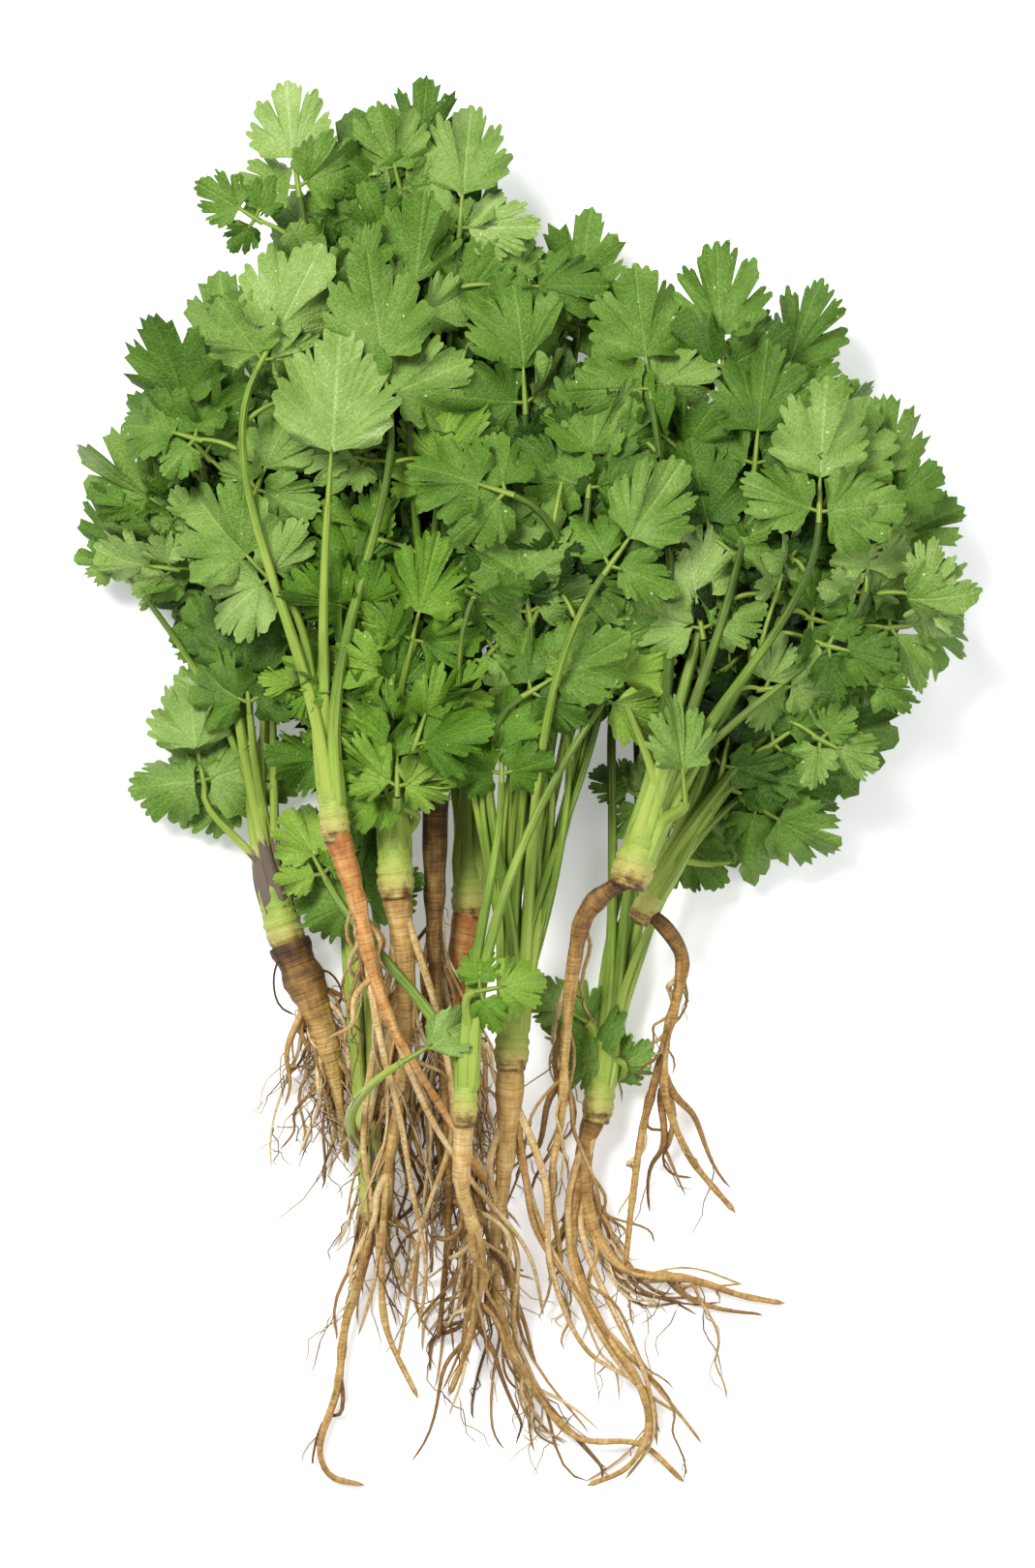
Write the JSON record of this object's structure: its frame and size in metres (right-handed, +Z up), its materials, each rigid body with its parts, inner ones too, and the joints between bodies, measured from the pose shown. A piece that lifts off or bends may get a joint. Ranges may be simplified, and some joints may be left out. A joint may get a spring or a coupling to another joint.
{
  "type": "coriander bunch",
  "caption": "Loose bunch of whole coriander plants lying flat: fanned lobed leaves, bare green stalks, pale crowns and tan branching taproots.",
  "frame": {"origin": "flat spot under the crown of the lowest plant, where it touches the surface that the bunch lies on", "axes": "+Y along the bunch from the roots to the leaves, +Z up from the surface, +X to the right seen from above"},
  "size_m": [0.2601, 0.4034, 0.0628],
  "materials": {
    "shoot_green": "matte, soft leaf with a faint sheen",
    "root_tan": "fibrous, dry, matt"
  },
  "bodies": {
    "root": {"left_shoot": "shoot_green", "left_root": "root_tan", "hero_shoot": "shoot_green", "hero_root": "root_tan", "frill_shoot": "shoot_green", "frill_root": "root_tan", "tall_shoot": "shoot_green", "tall_root": "root_tan", "base_shoot": "shoot_green", "base_root": "root_tan", "middle_shoot": "shoot_green", "middle_root": "root_tan", "front_shoot": "shoot_green", "front_root": "root_tan", "right_shoot": "shoot_green", "right_root": "root_tan", "side_shoot": "shoot_green", "side_root": "root_tan", "low_shoot": "shoot_green", "low_root": "root_tan", "far_shoot": "shoot_green", "far_root": "root_tan"}
  },
  "joints": []
}
